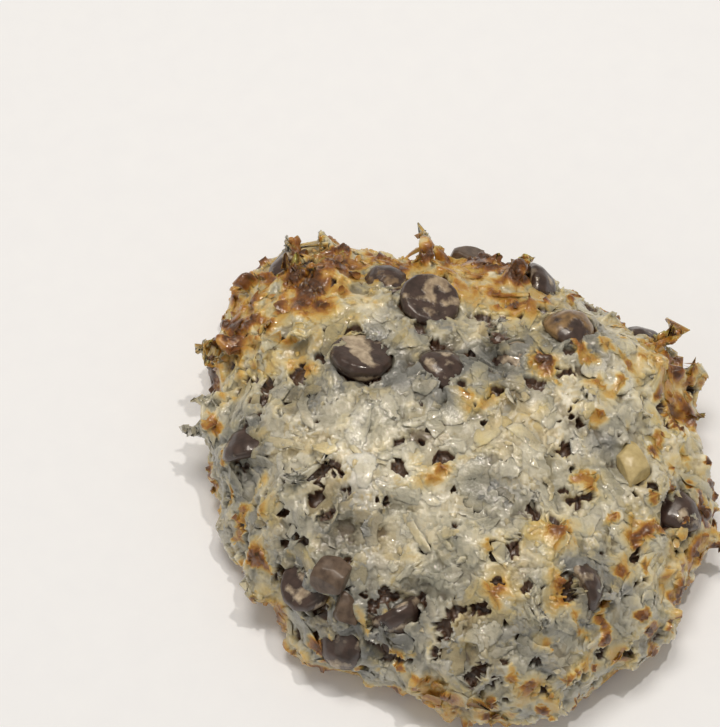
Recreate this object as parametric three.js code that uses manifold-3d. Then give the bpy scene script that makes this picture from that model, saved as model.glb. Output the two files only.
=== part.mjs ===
// A coconut drop cookie: flaked coconut bound with sweet milk, baked with chocolate chips and chopped almonds.
// Millimetres, +Z up. The origin is on the flat baked face, under the middle of the cookie.
import * as THREE from "three";
import { mergeVertices } from "three/addons/utils/BufferGeometryUtils.js";
import Module from "manifold-3d";

const wasm = await Module();
wasm.setup();

// The mound of dough
const CROWN = 24; // height of its top over the baked face
const REACH = 37.4; // mean distance from the middle to the side, before the lobes
const WAIST = 5.5; // height at which the side is widest
const UNDERSIDE = 12; // depth of the round underside, of which the baked face leaves the upper part
const FULLNESS = 0.92; // 1 is an ellipse, and less has squarer shoulders
const DOUGH_DIVISIONS = 12;

// Where the outline stands out or draws in: degrees round from +X, millimetres out, degrees of half width
const LOBES = [
  { at: 30, out: 2.3, spread: 13 },
  { at: 64, out: -1.8, spread: 9 },
  { at: 128, out: 8.4, spread: 16 },
  { at: 147, out: 3, spread: 8 },
  { at: 207, out: -5.6, spread: 27 },
  { at: 252, out: -4, spread: 18 },
  { at: 300, out: 1.4, spread: 24 },
];

// Spoonfuls and creases of the top: plan position, rise and half width
const SWELLS = [
  { x: 12, y: -22, rise: 3, spread: 11 },
  { x: 4, y: -13, rise: -2.2, spread: 6 },
  { x: 18, y: -8, rise: -1.4, spread: 6 },
  { x: -24, y: -14, rise: 1.6, spread: 9 },
  { x: -10, y: -17, rise: -2.2, spread: 7 },
  { x: -27, y: 24, rise: 3.4, spread: 10 },
  { x: 25, y: 18, rise: 1.8, spread: 9 },
  { x: 6, y: 26, rise: -1.6, spread: 7 },
];

// Crags: lumps and hollows a few flakes across, scattered over the dough
const CRAGS = 260;
const CRAG_SPREAD = [2, 4.4];
const CRAG_RISE = 1;

// Flakes of coconut that stand out of the dough
const FLAKES = 112;
const FLAKE_LENGTH = [4.5, 9];
const FLAKE_WIDTH = [1.8, 3.4];
const FLAKE_THICKNESS = 0.85;
const FLAKE_TILT = 24; // most that a flake leans out of the surface, in degrees
const FLAKE_RISE = 0.1; // how far a flake's middle lies over the surface
const LOWEST_FLAKE = -0.2; // sine of the angle from the waist down to the lowest flakes

// Chocolate chips, squat after baking
const CHIP_RADIUS = 4.8;
const CHIP_HEIGHT = 5.6;
const CHIP_SIDES = 12;
const GAP = 0.3; // clear space between a chip or an almond and the dough

// Where each chip shows: plan position, how far its middle lies under the surface, and how its tip leans from
// straight out of the dough: 180 shows the flat base, and turn is the plan direction of the lean
const CHIPS = [
  { x: -3.2, y: 23, sink: 1.5, lean: 168, turn: 90, size: 1 },
  { x: -13.5, y: 12, sink: 1.6, lean: 164, turn: 250, size: 1 },
  { x: -10.5, y: 29.5, sink: 1.9, lean: 30, turn: 120, size: 0.95 },
  { x: -1, y: 7.5, sink: 2.4, lean: 70, turn: 30, size: 0.95 },
  { x: 9, y: 12.5, sink: 2.3, lean: 20, turn: 200, size: 0.95 },
  { x: 18.5, y: 19, sink: 1.8, lean: 25, turn: 60, size: 0.95 },
  { x: 14.5, y: 31, sink: 2, lean: 75, turn: 0, size: 0.9 },
  { x: -22.2, y: -20.3, sink: 2.2, lean: 150, turn: 215, size: 0.95 },
  { x: -16.3, y: -28.8, sink: 2, lean: 35, turn: 240, size: 1 },
  { x: -8, y: -26, sink: 2.4, lean: 100, turn: 300, size: 0.9 },
  { x: -31, y: 1.3, sink: 2.2, lean: 80, turn: 90, size: 0.9 },
  { x: 19, y: -22.5, sink: 2.3, lean: 90, turn: 30, size: 0.9 },
  { x: 33.6, y: -8, sink: 2.3, lean: 60, turn: 100, size: 0.9 },
  { x: 31, y: 22.5, sink: 2, lean: 40, turn: 10, size: 0.9 },
  { x: -26, y: 33, sink: 2.1, lean: 60, turn: 200, size: 0.95 },
];

// Chopped almonds: plan position, size along and across the surface and out of it, and how deep the middle lies
const ALMONDS = [
  { x: 25.6, y: -3.2, long: 6.8, wide: 4.6, thick: 3.4, sink: 0.5, turn: 100 },
  { x: -17.4, y: -21, long: 5.4, wide: 4.8, thick: 3, sink: 0.1, turn: 20 },
  { x: -15.6, y: -25, long: 5, wide: 3.2, thick: 2.8, sink: 0.2, turn: 75 },
  { x: 3, y: 37.5, long: 6, wide: 4.2, thick: 3.2, sink: 0.6, turn: 10 },
];

// Toasted flakes that stand out of the dough: degrees round and sine of the angle above the waist, size,
// the plan direction that they point in and how far they stand up from the surface, in degrees
const STANDING_FLAKES = [
  { at: 96, lift: 0.55, long: 11, wide: 3.4, turn: 94, rise: 32 },
  { at: 135, lift: 0.35, long: 7, wide: 3.2, turn: 150, rise: 25 },
  { at: 124, lift: 0.45, long: 6.5, wide: 3, turn: 110, rise: 35 },
  { at: 119, lift: 0.5, long: 6, wide: 3, turn: 98, rise: 35 },
  { at: 150, lift: 0.45, long: 7, wide: 3.2, turn: 172, rise: 30 },
  { at: 163, lift: 0.4, long: 6, wide: 3.8, turn: 165, rise: 30 },
  { at: 72, lift: 0.62, long: 6.5, wide: 3.6, turn: 60, rise: 30 },
  { at: 62, lift: 0.92, long: 5.5, wide: 2.2, turn: 110, rise: 50 },
  { at: 33, lift: 0.42, long: 6.5, wide: 4.4, turn: 30, rise: 30 },
  { at: 25, lift: 0.3, long: 5.5, wide: 3.2, turn: 18, rise: 30 },
  { at: 346, lift: 0.12, long: 5.5, wide: 2, turn: 348, rise: 40 },
  { at: 324, lift: 0.02, long: 4.5, wide: 2.6, turn: 325, rise: 45 },
];
const ROOTED = 0.3; // share of a standing flake's length that its middle lies out from its root

// Repeatable random numbers from 0 to 1
function randomFrom(seed) {
  let state = seed;
  return () => {
    state = (state + 0x6d2b79f5) | 0;
    let t = Math.imul(state ^ (state >>> 15), 1 | state);
    t = (t + Math.imul(t ^ (t >>> 7), 61 | t)) ^ t;
    return ((t ^ (t >>> 14)) >>> 0) / 4294967296;
  };
}

const between = (random, [low, high]) => low + (high - low) * random();
const bell = (distance, spread) => Math.exp(-((distance / spread) ** 2));

// Distance from the middle to the side in a plan direction, in radians
function outlineRadius(direction) {
  let radius = REACH;
  for (const lobe of LOBES) {
    const apart = direction - THREE.MathUtils.degToRad(lobe.at);
    const turned = Math.atan2(Math.sin(apart), Math.cos(apart));
    radius += lobe.out * bell(THREE.MathUtils.radToDeg(turned), lobe.spread);
  }
  return radius;
}

// Three in five crags rise, and the others are hollows
function scatterCrags() {
  const random = randomFrom(11);
  return Array.from({ length: CRAGS }, () => ({
    at: doughPoint(2 * Math.PI * random(), 1.15 * random() - 0.15, []),
    rise: CRAG_RISE * (random() < 0.6 ? 1 : -1) * (0.6 + 0.8 * random()),
    spread: between(random, CRAG_SPREAD),
  }));
}

// A point of the dough's surface, from its plan direction and the sine of its angle above the waist
function doughPoint(direction, lift, crags) {
  const radius = outlineRadius(direction) * Math.pow(Math.sqrt(Math.max(0, 1 - lift * lift)), FULLNESS);
  const depth = lift < 0 ? UNDERSIDE : CROWN - WAIST;
  const height = WAIST + Math.sign(lift) * depth * Math.pow(Math.abs(lift), FULLNESS);
  const point = new THREE.Vector3(radius * Math.cos(direction), radius * Math.sin(direction), height);
  for (const swell of SWELLS) {
    const away = Math.hypot(point.x - swell.x, point.y - swell.y);
    point.z += Math.max(0, lift) * swell.rise * bell(away, swell.spread);
  }
  const outward = point.clone().sub(new THREE.Vector3(0, 0, WAIST)).normalize();
  let rise = 0;
  for (const crag of crags) rise += crag.rise * bell(point.distanceTo(crag.at), crag.spread);
  return point.addScaledVector(outward, rise);
}

const crags = scatterCrags();

// The surface's point and outward direction there
function doughSurface(direction, lift) {
  const step = 0.02;
  const at = doughPoint(direction, lift, crags);
  const round = doughPoint(direction + step, lift, crags).sub(doughPoint(direction - step, lift, crags));
  const up = doughPoint(direction, lift + step, crags).sub(doughPoint(direction, lift - step, crags));
  return { at, normal: round.cross(up).normalize() };
}

// The surface over a plan position: its lift is found by halving
function surfaceOver(x, y) {
  const direction = Math.atan2(y, x);
  const away = Math.hypot(x, y);
  let low = 0;
  let high = 0.999;
  for (let i = 0; i < 30; i++) {
    const middle = (low + high) / 2;
    const point = doughPoint(direction, middle, crags);
    if (Math.hypot(point.x, point.y) > away) low = middle;
    else high = middle;
  }
  return doughSurface(direction, Math.min(0.97, low));
}

// A closed geometry as a solid that can be joined and cut
function solidOf(geometry) {
  const bare = geometry.clone().deleteAttribute("normal").deleteAttribute("uv");
  const merged = mergeVertices(bare, 1e-4);
  return new wasm.Manifold(
    new wasm.Mesh({
      numProp: 3,
      vertProperties: merged.attributes.position.array,
      triVerts: new Uint32Array(merged.index.array),
    }),
  );
}

function geometryOf(solid) {
  const mesh = solid.getMesh();
  return new THREE.BufferGeometry()
    .setAttribute("position", new THREE.BufferAttribute(mesh.vertProperties, 3))
    .setIndex(new THREE.BufferAttribute(mesh.triVerts, 1));
}

// Moves each vertex of a geometry to where place says
function reshape(geometry, place) {
  const position = geometry.attributes.position;
  const vertex = new THREE.Vector3();
  for (let i = 0; i < position.count; i++) {
    place(vertex.fromBufferAttribute(position, i));
    position.setXYZ(i, vertex.x, vertex.y, vertex.z);
  }
  return geometry;
}

// Turns local +Z out of the surface, turned about it and leaned away from it, and moves there
function placement({ at, normal }, turn, lean, sink) {
  const out = new THREE.Quaternion().setFromUnitVectors(new THREE.Vector3(0, 0, 1), normal);
  const spin = new THREE.Quaternion().setFromAxisAngle(new THREE.Vector3(0, 0, 1), turn);
  const tip = new THREE.Quaternion().setFromAxisAngle(new THREE.Vector3(0, 1, 0), lean);
  const middle = at.clone().addScaledVector(normal, -sink);
  return new THREE.Matrix4().compose(middle, out.multiply(spin).multiply(tip), new THREE.Vector3(1, 1, 1));
}

function doughSolid() {
  const ball = new THREE.IcosahedronGeometry(1, DOUGH_DIVISIONS);
  reshape(ball, (v) => {
    v.normalize();
    v.copy(doughPoint(Math.atan2(v.y, v.x), v.z, crags));
  });
  return solidOf(ball);
}

// One flake: a thin strip with narrow ends that bends along its length and twists
function flakeGeometry(random, length, width) {
  const bend = (random() - 0.5) * 1.6;
  const twist = (random() - 0.5) * 0.9;
  const taper = [0.35 + 0.5 * random(), 0.35 + 0.5 * random()];
  const skew = (random() - 0.5) * 0.8;
  const strip = new THREE.BoxGeometry(length, width, FLAKE_THICKNESS, 2, 1, 1);
  return reshape(strip, (v) => {
    const along = (2 * v.x) / length;
    const narrow = 1 - along ** 2 * (1 - taper[along < 0 ? 0 : 1]);
    v.y = v.y * narrow + skew * along * along;
    v.applyAxisAngle(new THREE.Vector3(1, 0, 0), twist * along);
    v.z += bend * (1 - along * along);
  });
}

// Places for the flakes, by the golden angle and with a little scatter. The root spreads them evenly over the
// dough, which is broad and nearly flat on top
function flakePlaces(random) {
  const golden = Math.PI * (3 - Math.sqrt(5));
  return Array.from({ length: FLAKES }, (_, i) => {
    const share = (i + 0.5 + 0.6 * (random() - 0.5)) / FLAKES;
    const lift = LOWEST_FLAKE + (0.985 - LOWEST_FLAKE) * Math.pow(share, 0.72);
    return doughSurface(i * golden + 0.3 * (random() - 0.5), lift);
  });
}

function lyingFlakes(keepClear) {
  const random = randomFrom(21);
  const made = [];
  for (const place of flakePlaces(random)) {
    const lean = THREE.MathUtils.degToRad(FLAKE_TILT * (2 * random() - 1));
    const geometry = flakeGeometry(random, between(random, FLAKE_LENGTH), between(random, FLAKE_WIDTH));
    geometry.applyMatrix4(placement(place, 2 * Math.PI * random(), lean, -FLAKE_RISE));
    if (!keepClear.some((piece) => piece.at.distanceTo(place.at) < piece.clear)) made.push(geometry);
  }
  return made;
}

function standingFlakes() {
  const random = randomFrom(5);
  return STANDING_FLAKES.map((flake) => {
    const place = doughSurface(THREE.MathUtils.degToRad(flake.at), flake.lift);
    const turn = THREE.MathUtils.degToRad(flake.turn);
    return flakeGeometry(random, flake.long, flake.wide)
      .translate(ROOTED * flake.long, 0, 0)
      .applyMatrix4(placement(place, turn, -THREE.MathUtils.degToRad(flake.rise), -FLAKE_RISE));
  });
}

// The outline of half a chip, from its middle base to its soft tip, grown by a margin
function chipGeometry(size, grow) {
  const radius = CHIP_RADIUS * size + grow;
  const height = CHIP_HEIGHT * size + 2 * grow;
  const profile = [
    [0, 0],
    [0.88, 0],
    [1, 0.16],
    [0.9, 0.42],
    [0.5, 0.82],
    [0, 1],
  ].map(([out, up]) => new THREE.Vector2(out * radius, (up - 0.42) * height));
  return new THREE.LatheGeometry(profile, CHIP_SIDES).rotateX(Math.PI / 2);
}

// A chopped almond: a lump with a few flat cut faces
function almondGeometry({ long, wide, thick }, seed, grow) {
  const random = randomFrom(seed);
  const cuts = Array.from({ length: 5 }, () => {
    const direction = new THREE.Vector3(random() - 0.5, random() - 0.5, random() - 0.5).normalize();
    return { direction, depth: 0.62 + 0.2 * random() };
  });
  return reshape(new THREE.IcosahedronGeometry(1, 2), (v) => {
    v.normalize();
    let reach = 1;
    for (const cut of cuts) {
      const towards = v.dot(cut.direction);
      if (towards > 0) reach = Math.min(reach, cut.depth / towards);
    }
    v.multiplyScalar(reach);
    v.multiply(new THREE.Vector3(long / 2 + grow, wide / 2 + grow, thick / 2 + grow));
  });
}

// Of several bodies, the largest
function largest(solid) {
  return solid.decompose().reduce((a, b) => (a.volume() > b.volume() ? a : b));
}

// A piece in its place, with the slightly larger shape that is cut out round it
function embedded(name, kind, surface, clear, matrix, shape) {
  return {
    name,
    kind,
    at: surface.at,
    clear,
    solid: solidOf(shape(0).applyMatrix4(matrix)),
    pocket: solidOf(shape(GAP).applyMatrix4(matrix)),
  };
}

// The chips and almonds that lie in the dough. An almond lies over a chip that it meets
function embeddedPieces() {
  const almonds = ALMONDS.map((almond, i) => {
    const surface = surfaceOver(almond.x, almond.y);
    const matrix = placement(surface, THREE.MathUtils.degToRad(almond.turn), 0, almond.sink);
    const shape = (grow) => almondGeometry(almond, i + 3, grow);
    return embedded(`almond_piece_${i + 1}`, "almond", surface, almond.long / 2 + 0.3, matrix, shape);
  });
  const chips = CHIPS.map((chip, i) => {
    const surface = surfaceOver(chip.x, chip.y);
    const turn = THREE.MathUtils.degToRad(chip.turn);
    const matrix = placement(surface, turn, THREE.MathUtils.degToRad(chip.lean), chip.sink);
    const shape = (grow) => chipGeometry(chip.size, grow);
    const clear = CHIP_RADIUS * chip.size + 0.4;
    const piece = embedded(`chocolate_chip_${i + 1}`, "chocolate", surface, clear, matrix, shape);
    for (const almond of almonds) piece.solid = largest(piece.solid.subtract(almond.pocket));
    return piece;
  });
  return [...chips, ...almonds];
}

// The dough with its flakes, flat on the baked face and hollowed for what lies in it
function cookieSolid(pieces) {
  let cookie = doughSolid();
  for (const flake of [...lyingFlakes(pieces), ...standingFlakes()]) cookie = cookie.add(solidOf(flake));
  const below = new THREE.BoxGeometry(200, 200, 50).translate(0, 0, -25);
  cookie = cookie.subtract(solidOf(below));
  for (const piece of pieces) cookie = cookie.subtract(piece.pocket);
  return largest(cookie);
}

const MATERIALS = {
  coconut: new THREE.MeshStandardMaterial({ color: "#cdc3a4", roughness: 0.6, metalness: 0 }),
  chocolate: new THREE.MeshStandardMaterial({ color: "#3a2a24", roughness: 0.4, metalness: 0 }),
  almond: new THREE.MeshStandardMaterial({ color: "#b49a68", roughness: 0.55, metalness: 0 }),
};

const pieces = embeddedPieces();
const cookie = new THREE.Group();
cookie.add(new THREE.Mesh(geometryOf(cookieSolid(pieces)), MATERIALS.coconut));
cookie.children[0].name = "coconut_cookie";
for (const piece of pieces) {
  const mesh = new THREE.Mesh(geometryOf(piece.solid), MATERIALS[piece.kind]);
  mesh.name = piece.name;
  cookie.add(mesh);
}

// The middle of the cookie's plan goes over the origin
const middle = new THREE.Box3().setFromObject(cookie).getCenter(new THREE.Vector3());
cookie.position.set(-middle.x, -middle.y, 0);

export default cookie;
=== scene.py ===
import math
import random

import bmesh
import bpy
import numpy as np
from mathutils import Matrix, Quaternion, Vector, noise
from mathutils.bvhtree import BVHTree
from mathutils.kdtree import KDTree


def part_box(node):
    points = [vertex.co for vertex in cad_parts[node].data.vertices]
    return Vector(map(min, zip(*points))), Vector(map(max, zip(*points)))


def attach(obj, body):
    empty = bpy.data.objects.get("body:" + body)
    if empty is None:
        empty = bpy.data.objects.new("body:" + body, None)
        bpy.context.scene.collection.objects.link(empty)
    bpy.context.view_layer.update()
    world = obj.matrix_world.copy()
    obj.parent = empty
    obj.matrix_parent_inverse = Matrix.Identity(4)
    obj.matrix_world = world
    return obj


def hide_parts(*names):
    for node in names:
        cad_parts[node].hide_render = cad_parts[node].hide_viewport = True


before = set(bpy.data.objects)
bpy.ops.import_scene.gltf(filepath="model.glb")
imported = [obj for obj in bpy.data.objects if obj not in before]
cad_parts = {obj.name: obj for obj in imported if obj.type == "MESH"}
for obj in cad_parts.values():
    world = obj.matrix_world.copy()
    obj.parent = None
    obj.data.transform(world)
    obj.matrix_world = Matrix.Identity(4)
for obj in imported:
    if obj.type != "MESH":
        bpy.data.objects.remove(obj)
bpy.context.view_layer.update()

MM = 0.001
SCENE = bpy.context.scene

CHIPS = sorted(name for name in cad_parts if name.startswith("chocolate_chip"))
ALMONDS = sorted(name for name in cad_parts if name.startswith("almond_piece"))

# The view of the cookie: 60 degrees down, with its middle low and to the right of the frame
PICTURE = (720, 727)
PIXELS_PER_MM = 6.8
VIEW_DOWN = math.radians(60)
VIEW_DISTANCE = 0.380
AIM = Vector((0, 0, 0.011))
AIM_PIXEL = (457, 462)
SENSOR_HEIGHT = 36

# Where the coconut is toasted: place in mm, reach in mm, and how far
TOASTED = [
    ((-28, 24, 15), 13, 0.5),
    ((-14, 31, 16), 9, 0.45),
    ((6, 29, 16), 10, 0.45),
    ((33, 12, 10), 9, 0.5),
    ((32, -14, 8), 8, 0.45),
    ((-29.8, 36.2, 6.8), 5, 0.9),
    ((-21.8, 29.2, 18.3), 4, 0.8),
    ((-21.1, 23.3, 20.8), 3, 0.8),
    ((-16.6, 31.5, 17.1), 3, 0.7),
    ((-8.6, 30.9, 17.1), 3, 0.8),
    ((3.0, 33.4, 13.4), 4, 0.7),
    ((8.7, 31.6, 14.9), 4, 0.9),
    ((9.2, 22.2, 18.7), 3, 0.75),
    ((-32.5, 20.4, 16.0), 3, 0.8),
    ((-36.0, 16.2, 7.4), 3.5, 0.8),
    ((-22.8, 10.7, 21.5), 1.5, 0.6),
    ((12.7, 10.1, 22.8), 2, 0.9),
    ((19.7, 7.2, 22.0), 2, 0.5),
    ((30.5, 20.0, 12.1), 4, 0.7),
    ((31.6, 16.8, 13.4), 3, 0.7),
    ((32.7, 7.9, 12.0), 2.2, 0.9),
    ((3.2, 3.9, 24.1), 2.6, 0.5),
    ((-3.5, -7.9, 23.3), 2.2, 0.55),
    ((-27.5, -10.8, 17.1), 2, 0.6),
    ((-29.1, -14.9, 10.9), 2, 0.6),
    ((-35.5, 5.1, 2.2), 4, 0.5),
    ((18.6, -8.4, 20.5), 2.2, 0.5),
    ((13.5, -16.8, 22.3), 3, 0.65),
    ((23.4, -17.9, 18.3), 2, 0.4),
    ((25.9, -14.6, 17.7), 2, 0.6),
    ((4.6, -19.4, 23.2), 1.5, 0.6),
    ((5.3, -25.1, 21.9), 3, 0.5),
    ((14.3, -25.0, 20.6), 2, 0.6),
    ((12.1, -27.3, 20.7), 2, 0.5),
    ((31.8, -20.5, 8.2), 2.5, 0.8),
    ((-4.3, -35.4, 8.1), 3.5, 0.45),
    ((0.6, -38.1, 9.0), 4, 0.5),
    ((-26.1, -21.6, 4.3), 4, 0.5),
    ((17.8, -33.0, 12.3), 2.5, 0.35),
    ((11.0, -37.0, 10.7), 3, 0.4),
    ((22.7, -30.9, 10.3), 3, 0.35),
]

# Chips that lie so near the surface that the coconut over them looks grey: place and reach in mm
BURIED = [
    ((5, -11, 22), 4),
    ((-16, -14, 20), 5),
    ((21, -1, 21), 4),
    ((6, 8, 23), 5.5),
    ((-8, 8, 23), 4),
    ((-6, 17, 21), 5),
    ((14, 20, 18), 6),
    ((-16, -27, 10), 6),
    ((-22, 5, 20), 5),
    ((-14, -24, 15), 7),
    ((-31, -3, 12), 6),
    ((13, 29, 14), 6),
    ((29, -9, 14), 4.5),
    ((20, -22, 16), 5),
]

# Flakes that lie over chips: place and reach in mm
COVERED = [
    ((0.3, 9.0, 24.5), 2.2),
    ((9.5, 10.5, 22.5), 1.8),
    ((-12.0, 24.5, 17.5), 1.8),
    ((19.5, 19.0, 18.0), 2.2),
    ((-24.5, -18.0, 14.5), 1.8),
    ((-17.5, -20.0, 15.5), 2.0),
]

# How much of a chip's face is free of coconut, from 0 to 1, where that isn't all of it
BARE = {
    "chocolate_chip_3": 0.7,
    "chocolate_chip_6": 0.9,
    "chocolate_chip_7": 0.6,
    "chocolate_chip_8": 0.85,
    "chocolate_chip_9": 0.8,
    "chocolate_chip_10": 0.6,
    "chocolate_chip_11": 0.6,
    "chocolate_chip_12": 0.6,
    "chocolate_chip_13": 0.5,
    "chocolate_chip_14": 0.6,
    "chocolate_chip_15": 0.6,
}

# How far the dried milk on a chip is browned, where it isn't pale
BROWNED = {"chocolate_chip_1": 0.3, "chocolate_chip_3": 0.7, "chocolate_chip_6": 0.9}

# Where dried milk lies on the chips, or less of it than elsewhere: place and reach in mm, and how much
FILM = [
    ((-2.7, 24.2, 21.9), 2.7, 0.45),
    ((-3.4, 20.0, 20.7), 1.9, 0.4),
    ((-8.2, 22.6, 20.7), 2.2, -0.4),
    ((-4.5, 18.2, 19.5), 1.5, -0.3),
    ((-14.9, 14.6, 22.4), 2.2, 0.6),
    ((-14.4, 13.0, 23.5), 1.8, 0.5),
    ((-13.8, 10.4, 24.1), 1.3, 0.6),
    ((-14.1, 8.3, 23.4), 1.4, 0.6),
    ((-17.0, 10.0, 22.8), 2.2, -0.4),
    ((-11.0, 12.0, 23.0), 2.0, -0.4),
    ((16.5, 16.5, 20.5), 7.0, 0.7),
    ((17.0, 15.4, 22.4), 2.2, -0.75),
    ((-12.5, 26.5, 17.5), 2.5, 0.3),
    ((-22.3, -22.0, 15.0), 2.4, 0.5),
    ((-19.0, -19.0, 15.0), 2.0, 0.3),
    ((-0.5, 8.0, 24.5), 3.0, -0.15),
    ((8.5, 12.0, 22.6), 3.5, 0.15),
]
USUAL_FILM = 0.35

# Toasted flakes that stand up from the coconut: root in plan, length and width, plan direction and rise
STANDING = [
    ((-4.0, 30.8), 11.0, 3.0, 94, 38),
    ((-30.0, 28.3), 7.0, 3.2, 150, 25),
    ((-23.9, 33.3), 6.5, 3.0, 110, 35),
    ((-19.8, 33.4), 6.0, 3.0, 98, 35),
    ((-32.9, 17.5), 7.0, 3.2, 172, 30),
    ((-33.6, 9.0), 6.0, 3.8, 165, 30),
    ((8.7, 27.8), 6.5, 3.6, 60, 30),
    ((6.4, 12.2), 5.5, 2.2, 110, 50),
    ((29.8, -23.2), 4.5, 2.6, 325, 45),
]
LEFT_LONG = 0.6  # share of that length and of that width that is left of each after baking
LEFT_WIDE = 0.95
STANDING_THICK = 1.3  # mm
ROOTED = 0.3  # share of a standing flake's length that its middle lies out from its root

# The layers of flakes in the mat: size of a flake, size of the tears at its edge and step down in mm, and seed
LAYERS = [(4.6, 1.1, 0.35, 81), (3.2, 0.8, 0.25, 83), (2.1, 0.6, 0.14, 85)]
TORN_FROM, TORN_TO = 0.47, 0.5  # where on the waves a layer ends

# The holes between the flakes: their depth and size, the tears at their edges and the zones with more of them,
# in mm, and how much more of them there are over chocolate
HOLE_DEPTH = 1.5
HOLE_SIZE = 2.6
HOLE_TEARS = 0.9
HOLE_ZONES = 7.0
MORE_OVER_MILK = 0.12
HOLE_FROM, HOLE_TO = 0.805, 0.825  # where on the waves a hole starts

# How far things stand off the skin at most, in mm
FLAKES_STAND = 1.0
KNOBS_STAND = 1.6
CURLS_STAND = 2.4
LOOSE_STAND = 1.6
WHOLE_FROM, TORN_BELOW = 2.0, 1.2  # the height over the skin from which the mat isn't torn

# The grain of the meshes in mm, and the triangles of the largest one
SKIN_VOXEL = 0.45
MAT_VOXEL = 0.3
CHIP_VOXEL = 0.3
ALMOND_VOXEL = 0.16
MAT_TRIANGLES = 190000
WELD = 1e-6  # metres between corners that are one

SEEN_WITHIN = 0.45  # mm that the skin may lie off a chip that shows
FOOT_ROUNDING = 0.3  # mm
FOOT_CLEAR = (1.5, 5.0)  # heights in mm between which the loose flakes begin
GROWN = 1.35  # how much each chopped almond is enlarged after it is cut
CUT_AT = 0.7  # how far out from its middle a cut lies, as a share of its size that way
PEELED_FROM = 10  # mm to the right from which the almonds have no skin


def linear(colour):
    """An sRGB hex colour as linear RGBA."""
    channels = [int(colour[i:i + 2], 16) / 255 for i in (1, 3, 5)]
    return [c / 12.92 if c <= 0.04045 else ((c + 0.055) / 1.055) ** 2.4 for c in channels] + [1.0]


def add(tree, kind, wires=None, stops=(), **settings):
    """Adds a node. wires gives an input, by name or number, its value, the socket that feeds it, or a node
    whose first output does. stops are the places and colours of a ramp."""
    node = tree.nodes.new(kind)
    for name, value in settings.items():
        setattr(node, name, value)
    for where, value in (wires or {}).items():
        entry = node.inputs[where] if isinstance(where, int) else next(
            socket for socket in node.inputs if socket.enabled and socket.name == where)
        if isinstance(value, bpy.types.Node):
            value = next(socket for socket in value.outputs if socket.enabled)
        if isinstance(value, bpy.types.NodeSocket):
            tree.links.new(value, entry)
        else:
            entry.default_value = value
    for i, (at, colour) in enumerate(stops):
        elements = node.color_ramp.elements
        element = elements[i] if i < len(elements) else elements.new(1.0)
        element.position = at
        element.color = linear(colour)
    return node


def smoothstep(low, high, value):
    """0 at low and 1 at high, which may be the smaller one, with a soft rise between them."""
    t = np.clip((value - low) / (high - low), 0, 1)
    return t * t * (3 - 2 * t)


def new_object(name, mesh):
    made = bpy.data.objects.new(name, mesh)
    SCENE.collection.objects.link(made)
    return made


def finished(made, modifiers=()):
    """Gives an object modifiers, as (type, settings), and makes what they give its plain mesh."""
    for kind, settings in modifiers:
        modifier = made.modifiers.new(kind.title(), kind)
        for name, value in settings.items():
            setattr(modifier, name, value)
    graph = bpy.context.evaluated_depsgraph_get()
    plain = bpy.data.meshes.new_from_object(made.evaluated_get(graph))
    made.modifiers.clear()
    worn = made.data
    made.data = plain
    made.data.name = made.name
    bpy.data.meshes.remove(worn)
    return made


def joined(name, parts, weld=False):
    """One object from the meshes of several. weld merges the corners of their loose triangles."""
    gathered = bmesh.new()
    for part in parts:
        gathered.from_mesh(part.data)
    if weld:
        bmesh.ops.remove_doubles(gathered, verts=gathered.verts, dist=WELD)
    mesh = bpy.data.meshes.new(name)
    gathered.to_mesh(mesh)
    gathered.free()
    return new_object(name, mesh)


def solids(name, nodes):
    """One object from copies of the given solids."""
    return joined(name, [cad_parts[node] for node in nodes], weld=True)


def corners(mesh):
    """A mesh's vertices as an array, in millimetres."""
    found = np.empty(len(mesh.vertices) * 3, np.float32)
    mesh.vertices.foreach_get("co", found)
    return found.reshape(-1, 3) / MM


def put_corners(mesh, places):
    """Moves a mesh's vertices to places in millimetres."""
    mesh.vertices.foreach_set("co", np.asarray(places * MM, np.float32).ravel())
    mesh.update()


def directions(mesh):
    """The normal at each vertex."""
    found = np.empty(len(mesh.vertices) * 3, np.float32)
    mesh.vertices.foreach_get("normal", found)
    return found.reshape(-1, 3)


def mark(mesh, name, values):
    """Stores a number for each vertex, in place of any stored before."""
    if name in mesh.attributes:
        mesh.attributes.remove(mesh.attributes[name])
    attribute = mesh.attributes.new(name, "FLOAT", "POINT")
    attribute.data.foreach_set("value", np.asarray(values, np.float32))


def waves(places, size, seed):
    """Smooth noise from 0 to 1 at places in millimetres, with waves of that size."""
    shift = Vector((seed * 17.3, seed * 9.1, seed * 5.7))
    values = [noise.noise(Vector(place) / size + shift) for place in places.tolist()]
    return np.clip(0.5 + 0.75 * np.array(values), 0, 1)


def tree_of(made):
    """An object's faces, in a form that finds the nearest one."""
    mesh = made.data
    return BVHTree.FromPolygons([v.co for v in mesh.vertices], [p.vertices for p in mesh.polygons])


def distances(places, tree):
    """How far each place, in millimetres, is from a surface."""
    return np.array([tree.find_nearest(Vector(place) * MM)[3] for place in places.tolist()]) / MM


def heights(places, tree):
    """How far each place, in millimetres, is outside a surface, or inside it where that is less than 0."""
    found = []
    for place in places.tolist():
        foot, normal, _, _ = tree.find_nearest(Vector(place) * MM)
        found.append((Vector(place) * MM - foot).dot(normal))
    return np.array(found) / MM


# The camera and the studio

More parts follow.
